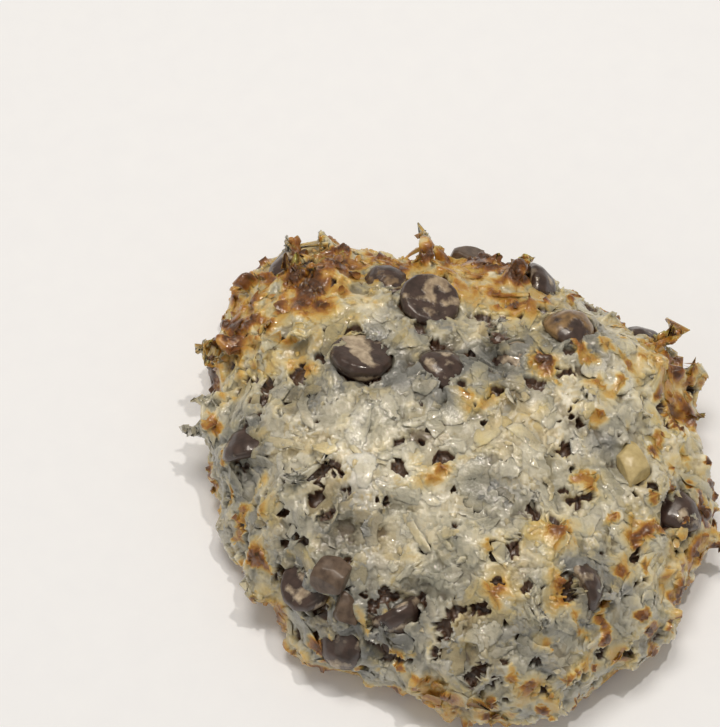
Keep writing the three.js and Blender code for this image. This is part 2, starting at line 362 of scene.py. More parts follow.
def aim_camera():
    """Stands the camera so that one pixel is the same length on the cookie as in the picture."""
    camera = bpy.data.objects.new("camera", bpy.data.cameras.new("camera"))
    SCENE.collection.objects.link(camera)
    back = Vector((0, -math.cos(VIEW_DOWN), math.sin(VIEW_DOWN)))
    right = Vector((1, 0, 0))
    up = back.cross(right)
    aside = (PICTURE[0] / 2 - AIM_PIXEL[0]) / PIXELS_PER_MM * MM
    above = (AIM_PIXEL[1] - PICTURE[1] / 2) / PIXELS_PER_MM * MM
    camera.location = AIM + back * VIEW_DISTANCE + right * aside + up * above
    camera.rotation_euler = back.to_track_quat("Z", "Y").to_euler()
    focal_pixels = PIXELS_PER_MM * VIEW_DISTANCE / MM
    camera.data.sensor_fit = "VERTICAL"
    camera.data.sensor_height = SENSOR_HEIGHT
    camera.data.lens = SENSOR_HEIGHT * focal_pixels / PICTURE[1]
    camera.data.clip_start = 0.01
    SCENE.camera = camera


def soft_light(name, place, size, power, colour):
    """A round lamp, aimed at the cookie. size is in metres and power in watts."""
    lamp = bpy.data.lights.new(name, "AREA")
    lamp.shape = "DISK"
    lamp.size = size
    lamp.energy = power
    lamp.color = linear(colour)[:3]
    light = bpy.data.objects.new(name, lamp)
    light.location = place
    light.rotation_euler = Vector(place).to_track_quat("Z", "Y").to_euler()
    SCENE.collection.objects.link(light)


def set_studio():
    """A wide soft lamp overhead, a small one that gives the glints, a faint one in front, and white paper."""
    soft_light("overhead", (-0.1, 0.16, 0.8), 0.3, 2.5, "#fff5e8")
    soft_light("lamp", (0.12, 0.1, 0.7), 0.025, 1.3, "#fff5e8")
    soft_light("front_fill", (-0.45, -0.6, 0.5), 0.5, 0.5, "#fff4e4")
    world = bpy.data.worlds.new("studio_air")
    world.use_nodes = True
    world.node_tree.nodes["Background"].inputs["Color"].default_value = linear("#f0ebe1")
    world.node_tree.nodes["Background"].inputs["Strength"].default_value = 0.42
    SCENE.world = world
    SCENE.view_settings.view_transform = "Standard"
    bpy.ops.mesh.primitive_plane_add(size=4, location=(0, 0, -0.05 * MM))
    floor = bpy.context.object
    floor.name = "floor"
    paper = bpy.data.materials.new("matt white paper sweep")
    paper.use_nodes = True
    tree = paper.node_tree
    shader = tree.nodes["Principled BSDF"]
    grain = add(tree, "ShaderNodeTexNoise", {"Scale": 900.0})
    tint = add(tree, "ShaderNodeValToRGB", {"Fac": grain},
               stops=[(0, "#f0f4fc"), (1, "#f4f8ff")])
    tree.links.new(tint.outputs["Color"], shader.inputs["Base Color"])
    shader.inputs["Roughness"].default_value = 0.8
    floor.data.materials.append(paper)


# What the coconut is like from place to place

def toast_at(places):
    """How far the coconut is toasted, from 0 to 1: in its zones, in specks at the rim and on the right, and
    all along the foot."""
    toast = 0.12 * waves(places, 5, 3)
    for place, reach, amount in TOASTED:
        away = np.linalg.norm(places - np.array(place), axis=1)
        toast = toast + amount * np.exp(-(away / reach) ** 2)
    toast = toast * (0.2 + 1.5 * waves(places, 2.2, 4))
    rim = 1 - smoothstep(8, 20, places[:, 2])
    right = smoothstep(8, 20, places[:, 0])
    often = np.clip(0.15 + 0.75 * rim + 0.45 * right, 0, 1)
    specks = smoothstep(0.62, 0.85, waves(places, 2.6, 6)) * often
    foot = 0.5 * (1 - smoothstep(1.0, 9.0, places[:, 2] + 4 * (waves(places, 4, 5) - 0.3)))
    return np.clip(np.maximum(np.maximum(toast, specks), foot), 0, 1)


def milk_at(places, chips):
    """How grey and glassy the milk-soaked coconut looks, from 0 to 1: most beside and over chocolate. The grey
    on the left is partly milk soaked over chocolate and partly painted shade, and the grey low in front is
    painted shade."""
    milk = np.exp(-(distances(places, chips) / 3.0) ** 2)
    for place, reach in BURIED:
        away = np.linalg.norm(places - np.array(place), axis=1)
        milk = np.maximum(milk, np.exp(-(away / reach) ** 2))
    # Painted shade: greyer on the left, in part, and low in front, where the cookie slopes away from the light
    left = smoothstep(-20, -34, places[:, 0] + 0.5 * places[:, 1]) * smoothstep(22, 4, places[:, 1])
    low = smoothstep(-16, -30, places[:, 1])
    milk = np.maximum(milk, np.maximum(0.5 * left, 0.5 * low))
    return np.clip(milk * (0.7 + 0.6 * waves(places, 3.0, 8)), 0, 1)


def scraps(places, size, seed):
    """The middle, in millimetres, of the torn scrap of about that size that each place is on. What is worked
    out at the middles changes along straight uneven edges."""
    shift = Vector((seed * 3.7, seed * 7.1, seed * 1.9))
    middles = [noise.voronoi(Vector(place) / size + shift)[1][0] for place in places.tolist()]
    return (np.array(middles) - np.array(shift)) * size


def torn_depth(places, milk, off):
    """How deep, in millimetres, the torn layers of flakes step down at each place, and the holes between them,
    which are most common over chocolate. off is how far each place is from the parts of the chips that lie
    open. There the coconut ends without a step, and so it does at the foot."""
    depth = np.zeros(len(places))
    for size, ragged, drop, seed in LAYERS:
        layer = waves(scraps(places, ragged, seed), size, seed + 1)
        depth += drop * smoothstep(TORN_FROM, TORN_TO, layer)
    holes = waves(scraps(places, HOLE_TEARS, 71), HOLE_SIZE, 72) + 0.5 * (waves(places, HOLE_ZONES, 74) - 0.51)
    holes += MORE_OVER_MILK * milk
    depth += HOLE_DEPTH * smoothstep(HOLE_FROM, HOLE_TO, holes)
    return depth * smoothstep(1.5, 4.0, places[:, 2]) * smoothstep(0.0, 0.7, off)


def bare_at(places):
    """1 on the parts of the chips and almonds that no flake covers."""
    covered = 2  # more than any chip's share of bare face
    bare = np.zeros(len(places))
    patches = waves(places, 3.2, 12)
    for place, reach in COVERED:
        away = np.linalg.norm(places - np.array(place), axis=1)
        patches[away < reach] = covered
    for node in CHIPS + ALMONDS:
        low, high = (np.array(corner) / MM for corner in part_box(node))
        near = np.nonzero(np.all((places > low - 1) & (places < high + 1), axis=1))[0]
        if len(near):
            on_it = distances(places[near], tree_of(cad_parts[node])) < SEEN_WITHIN
            bare[near[on_it & (patches[near] < BARE.get(node, 1.0))]] = 1
    return bare


def describe(made, skin):
    """Marks each vertex of a coconut piece with how high over the skin it is. What would reach below the flat
    foot is pressed flat."""
    places = corners(made.data)
    foot = places[:, 2] < FOOT_ROUNDING
    places[foot, 2] = FOOT_ROUNDING * np.exp((places[foot, 2] - FOOT_ROUNDING) / FOOT_ROUNDING)
    put_corners(made.data, places)
    mark(made.data, "high", heights(places, skin))


def settle(made, skin, most):
    """Presses down what stands more than that many millimetres off the skin."""
    places = corners(made.data)
    for i, place in enumerate(places.tolist()):
        foot, normal, _, away = skin.find_nearest(Vector(place) * MM)
        off = Vector(place) - foot / MM
        if away > most * MM and off.dot(normal) > 0:
            places[i] -= np.array(off * (1 - most * MM / away))
    put_corners(made.data, places)


def tear(made, skin, chips, open_faces):
    """Steps the surface of the mat down along the torn edges of its flakes, and into the holes between them.
    What stands clear of the mat stays whole."""
    places = corners(made.data)
    outward = np.array([skin.find_nearest(Vector(place) * MM)[1] for place in places.tolist()])
    off = np.array([open_faces.find(place)[2] for place in places.tolist()])
    low = smoothstep(WHOLE_FROM, TORN_BELOW, heights(places, skin))
    depth = torn_depth(places, milk_at(places, chips), off) * low
    put_corners(made.data, places - depth[:, None] * outward)


def take_marks(made, source, names):
    """Gives each vertex the marks of the nearest place on another mesh."""
    tree = tree_of(source)
    first = [face.vertices[0] for face in source.data.polygons]
    nearest = [first[tree.find_nearest(vertex.co)[2]] for vertex in made.data.vertices]
    for name in names:
        values = np.empty(len(source.data.vertices), np.float32)
        source.data.attributes[name].data.foreach_get("value", values)
        mark(made.data, name, values[nearest])


# Flakes of coconut

def flake(rng, long, wide, thick, rows, across):
    """A torn flake, flat on XY, in millimetres: a sheet with a ragged thin rim that swells to its thickness
    inside it, curls up at its ends, bows to one side and twists. It gives the places, the faces and how near
    each place is to a tip."""
    curl = rng.uniform(-0.01, 0.03) * long
    bow = rng.uniform(-0.14, 0.14) * long
    twist = rng.uniform(-0.12, 0.12)
    blunt = rng.uniform(1.2, 5)
    narrow = rng.uniform(0.15, 0.75), rng.uniform(0.15, 0.75)
    swing = [(rng.uniform(0.05, 0.3), rng.uniform(2, 5), rng.uniform(0, 6)) for _ in range(2)]
    columns = [-1, *np.linspace(-0.75, 0.75, across - 1), 1] if across > 2 else [-1, 0, 1]
    places = []
    tips = []
    top = {}
    bottom = {}
    for i in range(rows + 1):
        for j, v in enumerate(columns):
            u = 2 * i / rows - 1
            least = narrow[0] if u < 0 else narrow[1]
            deep, often, start = swing[v > 0]
            swell = 1 + deep * math.sin(often * u + start)
            half = wide / 2 * (least + (1 - least) * (1 - abs(u) ** blunt)) * swell
            at_end = i in (0, rows)
            at_side = j in (0, across)
            x = u * long / 2 + rng.uniform(-0.3, 0.3) * (min(wide, 1.6) if at_end else long / rows)
            y = v * half + (rng.uniform(-0.24, 0.24) * min(wide, 1.8) if at_side else 0)
            lump = curl * u * u + rng.uniform(-0.04, 0.04)
            lean = twist * u
            for sheet, side in ((top, 1), (bottom, -1)):
                if side < 0 and (at_end or at_side):
                    sheet[i, j] = top[i, j]
                    continue
                off = -0.45 * thick if at_end or at_side else side * thick / 2 * rng.uniform(0.8, 1.1)
                z = lump + off
                sheet[i, j] = len(places)
                places.append((
                    x,
                    y * math.cos(lean) - z * math.sin(lean) + bow * u * u,
                    y * math.sin(lean) + z * math.cos(lean),
                ))
                tips.append(max(max(u, 0) ** 2, 0.4 * v * v))
    faces = []
    for i in range(rows):
        for j in range(across):
            ring = [(i, j), (i + 1, j), (i + 1, j + 1), (i, j + 1)]
            faces.append([top[corner] for corner in ring])
            faces.append([bottom[corner] for corner in reversed(ring)])
    return np.array(places), faces, tips


def mesh_of(name, shapes):
    """One mesh of several flakes, with sharp rims."""
    places = np.concatenate([shape[0] for shape in shapes])
    starts = np.cumsum([0] + [len(shape[0]) for shape in shapes])
    faces = [
        [start + corner for corner in face]
        for start, shape in zip(starts, shapes)
        for face in shape[1]
    ]
    mesh = bpy.data.meshes.new(name)
    mesh.from_pydata((places * MM).tolist(), [], faces)
    mesh.shade_smooth()
    mesh.set_sharp_from_angle(angle=math.radians(70))
    mark(mesh, "tip", np.concatenate([shape[2] for shape in shapes]))
    return mesh


def flakes(kind, count, long, wide, thick, rows, across):
    """A collection of different flakes of a kind. long, wide and thick are ranges in millimetres."""
    rng = random.Random(kind)
    collection = bpy.data.collections.new(kind)
    for i in range(count):
        shape = flake(rng, rng.uniform(*long), rng.uniform(*wide), rng.uniform(*thick), rows, across)
        mesh = mesh_of(f"{kind}_{i}", [shape])
        own = mesh.attributes.new("own", "FLOAT_VECTOR", "POINT")
        own.data.foreach_set("vector", (shape[0] * MM).astype(np.float32).ravel())
        collection.objects.link(bpy.data.objects.new(mesh.name, mesh))
    return collection


def scatter_tree(material):
    """Flakes laid over a skin, each at its own turn, size and height, and bent to follow a bed. Those that
    would lie over a bare chip are left out."""
    tree = bpy.data.node_groups.new("lay_flakes", "GeometryNodeTree")
    tree.interface.new_socket("Flakes", in_out="OUTPUT", socket_type="NodeSocketGeometry")
    for label, kind in (
        ("Skin", "Geometry"),
        ("Bed", "Object"),
        ("Kinds", "Collection"),
        ("Where", "String"),
        ("Spacing", "Float"),
        ("Per square metre", "Float"),
        ("Smallest", "Vector"),
        ("Largest", "Vector"),
        ("Lowest", "Float"),
        ("Highest", "Float"),
        ("Lean", "Float"),
        ("Reach", "Float"),
        ("Follow", "Float"),
        ("Seed", "Int"),
    ):
        tree.interface.new_socket(label, in_out="INPUT", socket_type="NodeSocket" + kind)
    given = add(tree, "NodeGroupInput").outputs

    where = add(tree, "GeometryNodeInputNamedAttribute", {"Name": given["Where"]}, data_type="FLOAT")
    spread = add(tree, "GeometryNodeDistributePointsOnFaces", {
        "Mesh": given["Skin"],
        "Distance Min": given["Spacing"],
        "Density Max": given["Per square metre"],
        "Density Factor": where,
        "Seed": given["Seed"],
    }, distribute_method="POISSON")
    points = spread.outputs["Points"]
    backwards = add(tree, "ShaderNodeMath", {0: given["Lean"], 1: -1.0}, operation="MULTIPLY")
    for step, (label, kind, low, high) in enumerate((
        ("size", "FLOAT_VECTOR", given["Smallest"], given["Largest"]),
        ("lift", "FLOAT", given["Lowest"], given["Highest"]),
        ("lean", "FLOAT", backwards, given["Lean"]),
        ("spin", "FLOAT", 0.0, 2 * math.pi),
        ("tone", "FLOAT", 0.0, 1.0),
        ("hue", "FLOAT", 0.0, 1.0),
    )):
        seed = add(tree, "FunctionNodeIntegerMath", {0: given["Seed"], 1: step + 1}, operation="ADD")
        drawn = add(tree, "FunctionNodeRandomValue", {"Min": low, "Max": high, "Seed": seed}, data_type=kind)
        stored = {"Geometry": points, "Name": label, "Value": drawn}
        points = add(tree, "GeometryNodeStoreNamedAttribute", stored, data_type=kind, domain="POINT")
    size, lift, lean, spin = (
        add(tree, "GeometryNodeInputNamedAttribute", {"Name": label}, data_type=kind)
        for label, kind in (("size", "FLOAT_VECTOR"), ("lift", "FLOAT"), ("lean", "FLOAT"), ("spin", "FLOAT")))
    angles = add(tree, "ShaderNodeCombineXYZ", {"Y": lean, "Z": spin})
    lying = add(tree, "FunctionNodeEulerToRotation", {0: angles})
    turn = add(tree, "FunctionNodeRotateRotation", {0: spread.outputs["Rotation"], 1: lying},
               rotation_space="LOCAL")

    # A flake is left out if its middle or either end lies over a bare part of a chip
    reach = add(tree, "ShaderNodeCombineXYZ", {"X": given["Reach"]})
    half = add(tree, "ShaderNodeVectorMath", {0: size, 1: reach}, operation="MULTIPLY")
    end = add(tree, "FunctionNodeRotateVector", {0: half, 1: turn})
    here = add(tree, "GeometryNodeInputPosition")
    bare = add(tree, "GeometryNodeInputNamedAttribute", {"Name": "bare"}, data_type="FLOAT")
    found = bare
    for operation in ("ADD", "SUBTRACT"):
        there = add(tree, "ShaderNodeVectorMath", {0: here, 1: end}, operation=operation)
        sampled = {"Mesh": given["Skin"], "Value": bare, "Sample Position": there}
        nearest = add(tree, "GeometryNodeSampleNearestSurface", sampled, data_type="FLOAT")
        found = add(tree, "ShaderNodeMath", {0: found, 1: nearest}, operation="MAXIMUM")
    over = add(tree, "FunctionNodeCompare", {0: found, 1: 0.5},
               data_type="FLOAT", operation="GREATER_THAN")
    kept = add(tree, "GeometryNodeDeleteGeometry", {"Geometry": points, "Selection": over},
               domain="POINT")

    kinds = add(tree, "GeometryNodeCollectionInfo", {
        "Collection": given["Kinds"],
        "Separate Children": True,
        "Reset Children": True,
    })
    laid = add(tree, "GeometryNodeInstanceOnPoints", {
        "Points": kept,
        "Instance": kinds,
        "Pick Instance": True,
        "Rotation": turn,
        "Scale": size,
    })
    realised = add(tree, "GeometryNodeRealizeInstances", {"Geometry": laid})

    # Each vertex moves along the bed's normal towards its own height over the bed
    own = add(tree, "GeometryNodeInputNamedAttribute", {"Name": "own"}, data_type="FLOAT_VECTOR")
    sized = add(tree, "ShaderNodeVectorMath", {0: own, 1: size}, operation="MULTIPLY")
    axes = add(tree, "ShaderNodeSeparateXYZ", {0: sized}).outputs
    sine = add(tree, "ShaderNodeMath", {0: lean}, operation="SINE")
    drop = add(tree, "ShaderNodeMath", {0: axes["X"], 1: sine}, operation="MULTIPLY")
    rise = add(tree, "ShaderNodeMath", {0: axes["Z"], 1: drop}, operation="SUBTRACT")
    wanted = add(tree, "ShaderNodeMath", {0: rise, 1: lift}, operation="ADD")
    bed = add(tree, "GeometryNodeObjectInfo", {"Object": given["Bed"]}).outputs["Geometry"]
    place = add(tree, "GeometryNodeInputPosition")
    normal = add(tree, "GeometryNodeInputNormal")
    foot = add(tree, "GeometryNodeProximity", {0: bed, "Sample Position": place},
               target_element="FACES").outputs["Position"]
    sampled = {"Mesh": bed, "Value": normal, "Sample Position": place}
    outward = add(tree, "GeometryNodeSampleNearestSurface", sampled, data_type="FLOAT_VECTOR")
    above = add(tree, "ShaderNodeVectorMath", {0: place, 1: foot}, operation="SUBTRACT")
    height = add(tree, "ShaderNodeVectorMath", {0: above, 1: outward}, operation="DOT_PRODUCT")
    short = add(tree, "ShaderNodeMath", {0: wanted, 1: height}, operation="SUBTRACT")
    share = add(tree, "ShaderNodeMath", {0: short, 1: given["Follow"]}, operation="MULTIPLY")
    shift = add(tree, "ShaderNodeVectorMath", {0: outward, "Scale": share}, operation="SCALE")
    bent = add(tree, "GeometryNodeSetPosition", {"Geometry": realised, "Offset": shift})
    dressed = add(tree, "GeometryNodeSetMaterial", {"Geometry": bent, "Material": material})
    add(tree, "NodeGroupOutput", {0: dressed})
    return tree


def scattered(name, tree, skin, values):
    """The flakes that a scatter tree lays over a skin, as one plain mesh."""
    made = new_object(name, skin.data.copy())
    modifier = made.modifiers.new("Scatter", "NODES")
    modifier.node_group = tree
    for socket in tree.interface.items_tree:
        if socket.in_out == "INPUT" and socket.name in values:
            modifier[socket.identifier] = values[socket.name]
    return finished(made)


def standing_flakes(skin):
    """The larger toasted flakes, each rooted in the skin and rising from it, narrower towards its free end."""
    rng = random.Random(7)
    shapes = []
    for (x, y), long, wide, heading, rise in STANDING:
        root, normal, _, _ = skin.ray_cast(Vector((x, y, 60)) * MM, Vector((0, 0, -1)))
        places, faces, tips = flake(rng, LEFT_LONG * long, LEFT_WIDE * wide, STANDING_THICK, 10, 4)
        out = Vector((0, 0, 1)).rotation_difference(normal)
        turn = Quaternion((0, 0, 1), math.radians(heading)) @ Quaternion((0, 1, 0), -math.radians(rise))
        matrix = Matrix.Translation(root / MM) @ (out @ turn).to_matrix().to_4x4()
        along = places[:, 0] / long + 0.5
        places[:, 1] *= 1.2 - 0.5 * along
        places[:, 0] += ROOTED * LEFT_LONG * long
        moved = [matrix @ Vector(place) for place in places.tolist()]
        shapes.append((np.array(moved), faces, tips))
    made = new_object("toasted_curls", mesh_of("toasted_curls", shapes))
    tones = [[rng.uniform(0, 1)] * len(shape[0]) for shape in shapes]
    mark(made.data, "tone", np.concatenate(tones))
    mark(made.data, "hue", np.full(len(made.data.vertices), 0.6))
    return made


def chop(made):
    """Cuts the almonds to rough blocks with six flat sides, each about as large as its round form."""
    rng = random.Random(5)
    cut = bmesh.new()
    for node in ALMONDS:
        piece = bmesh.new()
        piece.from_mesh(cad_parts[node].data)
        bmesh.ops.remove_doubles(piece, verts=piece.verts, dist=WELD)
        middle = sum((vertex.co for vertex in piece.verts), Vector()) / len(piece.verts)
        turn = Quaternion([rng.gauss(0, 1) for _ in range(4)]).normalized()
        for axis in ((1, 0, 0), (-1, 0, 0), (0, 1, 0), (0, -1, 0), (0, 0, 1), (0, 0, -1)):
            aside = Vector([rng.uniform(-0.3, 0.3) for _ in range(3)])
            across = (turn @ (Vector(axis) + aside)).normalized()
            far = max((vertex.co - middle).dot(across) for vertex in piece.verts)
            parts = piece.verts[:] + piece.edges[:] + piece.faces[:]
            sliced = bmesh.ops.bisect_plane(piece, geom=parts, plane_co=middle + across * far * CUT_AT,
                                            plane_no=across, clear_outer=True)
            rim = [part for part in sliced["geom_cut"] if isinstance(part, bmesh.types.BMEdge)]
            bmesh.ops.contextual_create(piece, geom=rim)
        bmesh.ops.scale(piece, vec=[GROWN] * 3, space=Matrix.Translation(-middle), verts=piece.verts)
        bmesh.ops.triangulate(piece, faces=piece.faces)
        bmesh.ops.recalc_face_normals(piece, faces=piece.faces)
        mesh = bpy.data.meshes.new(node)
        piece.to_mesh(mesh)
        piece.free()
        cut.from_mesh(mesh)
        bpy.data.meshes.remove(mesh)
    cut.to_mesh(made.data)
    cut.free()


# Finishes

def coconut_finish(name, depth):
    """Flaked coconut soaked in sweet milk and baked: moist, so that its edges catch small glints, and thin
    enough that light soaks into it. It is milk white to cream, golden and brown where it is toasted, and grey
    where chocolate lies under it and, as painted shade, on the left in part and low in front. Painted light
    and shade also make it lighter where it stands high, darker low between the flakes and dark brown in the
    holes between them. depth is how far light spreads in it."""
    material = bpy.data.materials.new(name)
    material.use_nodes = True
    tree = material.node_tree
    shader = tree.nodes["Principled BSDF"]
    place = add(tree, "ShaderNodeTexCoord").outputs["Object"]
    scrap = add(tree, "ShaderNodeTexVoronoi", {"Vector": place, "Scale": 1 / (0.8 * MM)}).outputs["Position"]
    mottle = add(tree, "ShaderNodeTexNoise", {"Vector": scrap, "Scale": 1 / (2.4 * MM), "Detail": 2.0})
    fine = add(tree, "ShaderNodeTexNoise", {"Vector": place, "Scale": 1 / (0.45 * MM), "Detail": 4.0})
    tone, hue, tip, toast, milk, high = (
        add(tree, "ShaderNodeAttribute", attribute_name=label).outputs["Fac"]
        for label in ("tone", "hue", "tip", "toast", "milk", "high"))

    # Milk white to cream, by the scrap, by the zone and by the flake, with painted light and shade on top:
    # lighter where it stands high and darker where it lies low
    zone = add(tree, "ShaderNodeTexNoise", {"Vector": place, "Scale": 1 / (9 * MM), "Detail": 1.0})
    own_tone = add(tree, "ShaderNodeMath", {0: tone, 1: 0.13}, operation="MULTIPLY")
    shade = add(tree, "ShaderNodeMath", {0: mottle, 1: 0.4, 2: own_tone}, operation="MULTIPLY_ADD")
    shade = add(tree, "ShaderNodeMath", {0: zone, 1: 0.45, 2: shade}, operation="MULTIPLY_ADD")
    # Painted light and shade, by the height over the skin
    painted_relief_shade = add(tree, "ShaderNodeMapRange", {"Value": high, 1: -0.7, 2: 0.7, 3: -0.09, 4: 0.09})
    shade = add(tree, "ShaderNodeMath", {0: shade, 1: painted_relief_shade}, operation="ADD")
    coconut = add(tree, "ShaderNodeValToRGB", {"Fac": shade},
                  stops=[(0.3, "#a3a191"), (0.44, "#c7c2ae"), (0.58, "#e2dcc8"), (0.72, "#f5f0e2")])
    hue_here = add(tree, "ShaderNodeMath", {0: zone, 1: 1.2, 2: hue}, operation="MULTIPLY_ADD")
    hue_here = add(tree, "ShaderNodeMath", {0: toast, 1: 1.4, 2: hue_here}, operation="MULTIPLY_ADD")
    warmth = add(tree, "ShaderNodeMapRange", {"Value": hue_here, 1: 1.15, 2: 2.05})
    warm = add(tree, "ShaderNodeMix", {"Factor": 1.0, "A": coconut, "B": linear("#f4e0ac")},
               data_type="RGBA", blend_type="MULTIPLY")
    coconut = add(tree, "ShaderNodeMix", {"Factor": warmth, "A": coconut, "B": warm}, data_type="RGBA")
    # Grey where it is soaked over chocolate, and as painted shade on the left in part and low in front
    soaking = add(tree, "ShaderNodeMath", {0: tone, 1: 1.1, 2: 0.45}, operation="MULTIPLY_ADD")
    soaking = add(tree, "ShaderNodeMath", {0: soaking, 1: milk}, operation="MULTIPLY", use_clamp=True)
    soaked = add(tree, "ShaderNodeMix", {"Factor": soaking, "A": coconut, "B": linear("#9da2ae")},
                 data_type="RGBA", blend_type="MULTIPLY")

    # Golden to brown where it is toasted, and most where it stands up
    proud = add(tree, "ShaderNodeMapRange", {"Value": high, 1: -0.4, 2: 1.0, 3: 0.35, 4: 1.15})
    edge = add(tree, "ShaderNodeMath", {0: tip, 1: 0.3, 2: proud}, operation="MULTIPLY_ADD")
    grain = add(tree, "ShaderNodeMath", {0: fine, 1: 0.12, 2: -0.06}, operation="MULTIPLY_ADD")
    doneness = add(tree, "ShaderNodeMath", {0: tone, 1: 0.3, 2: 1.1}, operation="MULTIPLY_ADD")
    toasting = add(tree, "ShaderNodeMath", {0: toast, 1: doneness}, operation="MULTIPLY")
    browning = add(tree, "ShaderNodeMath", {0: toasting, 1: edge, 2: grain}, operation="MULTIPLY_ADD")
    baked = add(tree, "ShaderNodeValToRGB", {"Fac": browning}, stops=[
        (0.12, "#e4d498"), (0.28, "#cfaa58"), (0.46, "#aa782c"), (0.66, "#84511b"), (0.95, "#522f12")])
    amount = add(tree, "ShaderNodeMapRange", {"Value": browning, 1: 0.06, 2: 0.36})
    colour = add(tree, "ShaderNodeMix", {"Factor": amount, "A": soaked, "B": baked}, data_type="RGBA")

    # Painted shade: darker low between the flakes, and dark brown, as brown as chocolate, in the holes
    lit = add(tree, "ShaderNodeMapRange", {"Value": high, 1: -1.2, 2: -0.4})
    # The colour of the painted shade between the flakes
    low = add(tree, "ShaderNodeMix", {"Factor": 1.0, "A": colour, "B": linear("#a99e8b")},
              data_type="RGBA", blend_type="MULTIPLY")
    colour = add(tree, "ShaderNodeMix", {"Factor": lit, "A": low, "B": colour}, data_type="RGBA")
    painted_hole_shade = add(tree, "ShaderNodeMapRange", {"Value": high, 1: -1.1, 2: -0.8})
    colour = add(tree, "ShaderNodeMix", {"Factor": painted_hole_shade, "A": linear("#523a2a"), "B": colour},
                 data_type="RGBA")

    tree.links.new(colour.outputs[2], shader.inputs["Base Color"])
    shader.inputs["Roughness"].default_value = 0.36
    shader.inputs["IOR"].default_value = 1.45
    shader.inputs["Subsurface Weight"].default_value = 0.85
    shader.inputs["Subsurface Radius"].default_value = (1.0, 0.95, 0.9)
    shader.inputs["Subsurface Scale"].default_value = depth
    shader.inputs["Coat Weight"].default_value = 0.6
    shader.inputs["Coat Roughness"].default_value = 0.07

    # Fine fibres in the coconut, and ripples in the wet film over it, which give the glints
    fibres = add(tree, "ShaderNodeTexNoise", {"Vector": place, "Scale": 1 / (0.5 * MM), "Detail": 3.0})
    bump = add(tree, "ShaderNodeBump", {"Height": fibres, "Distance": 0.14 * MM, "Strength": 1.0})
    tree.links.new(bump.outputs["Normal"], shader.inputs["Normal"])
    ripples = add(tree, "ShaderNodeTexNoise", {"Vector": place, "Scale": 1 / (0.6 * MM), "Detail": 1.0})
    film = add(tree, "ShaderNodeBump", {"Height": ripples, "Distance": 0.15 * MM, "Strength": 1.0})
    tree.links.new(film.outputs["Normal"], shader.inputs["Coat Normal"])
    return material


def chocolate_finish():
    """Dark baking chocolate that softened and set again: nearly black brown with a dull satin gloss, under a
    film of dried milk that broke into pits as it shrank, and is browned like caramel in places."""
    material = bpy.data.materials.new("dark chocolate under dried milk")
    material.use_nodes = True
    tree = material.node_tree
    shader = tree.nodes["Principled BSDF"]
    place = add(tree, "ShaderNodeTexCoord").outputs["Object"]
    bloom = add(tree, "ShaderNodeTexNoise", {"Vector": place, "Scale": 1 / (1.4 * MM), "Detail": 4.0})
    torn = add(tree, "ShaderNodeTexNoise", {"Vector": place, "Scale": 1 / (1.5 * MM), "Detail": 3.0})
    grain = add(tree, "ShaderNodeTexNoise", {"Vector": place, "Scale": 1 / (1.0 * MM), "Detail": 2.0})
    cover = add(tree, "ShaderNodeAttribute", attribute_name="film").outputs["Fac"]
    burnt = add(tree, "ShaderNodeAttribute", attribute_name="burnt").outputs["Fac"]
    cocoa = add(tree, "ShaderNodeValToRGB", {"Fac": bloom}, stops=[(0.3, "#2f211b"), (0.7, "#4d3b34")])
    milk = add(tree, "ShaderNodeValToRGB", {"Fac": grain}, stops=[(0.3, "#8f7e6b"), (0.7, "#c6b69e")])
    caramel = add(tree, "ShaderNodeValToRGB", {"Fac": grain}, stops=[(0.3, "#5d4425"), (0.7, "#8d6c3c")])
    crust = add(tree, "ShaderNodeMix", {"Factor": burnt, "A": milk, "B": caramel}, data_type="RGBA")
    edge = add(tree, "ShaderNodeMath", {0: cover, 1: torn}, operation="SUBTRACT")
    film = add(tree, "ShaderNodeMapRange", {"Value": edge, 1: -0.05, 2: 0.2})
    colour = add(tree, "ShaderNodeMix", {"Factor": film, "A": cocoa, "B": crust}, data_type="RGBA")
    tree.links.new(colour.outputs[2], shader.inputs["Base Color"])
    shader.inputs["Roughness"].default_value = 0.36
    shader.inputs["IOR"].default_value = 1.46
    shader.inputs["Coat Weight"].default_value = 0.5
    shader.inputs["Coat Roughness"].default_value = 0.12
    relief = add(tree, "ShaderNodeMath", {0: grain, 1: 0.5, 2: film}, operation="MULTIPLY_ADD")
    bump = add(tree, "ShaderNodeBump", {"Height": relief, "Distance": 0.18 * MM, "Strength": 0.9})
    tree.links.new(bump.outputs["Normal"], shader.inputs["Normal"])
    return material


def almond_finish():
    """Chopped almond: a cream, faintly grained cut face, or brown papery skin that is a little uneven."""
    material = bpy.data.materials.new("chopped almond with its skin")
    material.use_nodes = True
    tree = material.node_tree
    shader = tree.nodes["Principled BSDF"]
    place = add(tree, "ShaderNodeTexCoord").outputs["Object"]
    grain = add(tree, "ShaderNodeTexNoise", {"Vector": place, "Scale": 1 / (1.1 * MM), "Detail": 4.0})
    papery = add(tree, "ShaderNodeAttribute", attribute_name="skin").outputs["Fac"]
    nut = add(tree, "ShaderNodeValToRGB", {"Fac": grain}, stops=[(0.3, "#ab9868"), (0.7, "#c9b785")])
    brown = add(tree, "ShaderNodeValToRGB", {"Fac": grain}, stops=[(0.3, "#46362a"), (0.7, "#6c5a4b")])
    colour = add(tree, "ShaderNodeMix", {"Factor": papery, "A": nut, "B": brown}, data_type="RGBA")
    tree.links.new(colour.outputs[2], shader.inputs["Base Color"])
    shader.inputs["Roughness"].default_value = 0.45
    shader.inputs["IOR"].default_value = 1.45
    shader.inputs["Coat Weight"].default_value = 0.3
    shader.inputs["Coat Roughness"].default_value = 0.25
    bump = add(tree, "ShaderNodeBump", {"Height": grain, "Distance": 0.15 * MM, "Strength": 0.6})
    tree.links.new(bump.outputs["Normal"], shader.inputs["Normal"])
    return material


# The pieces

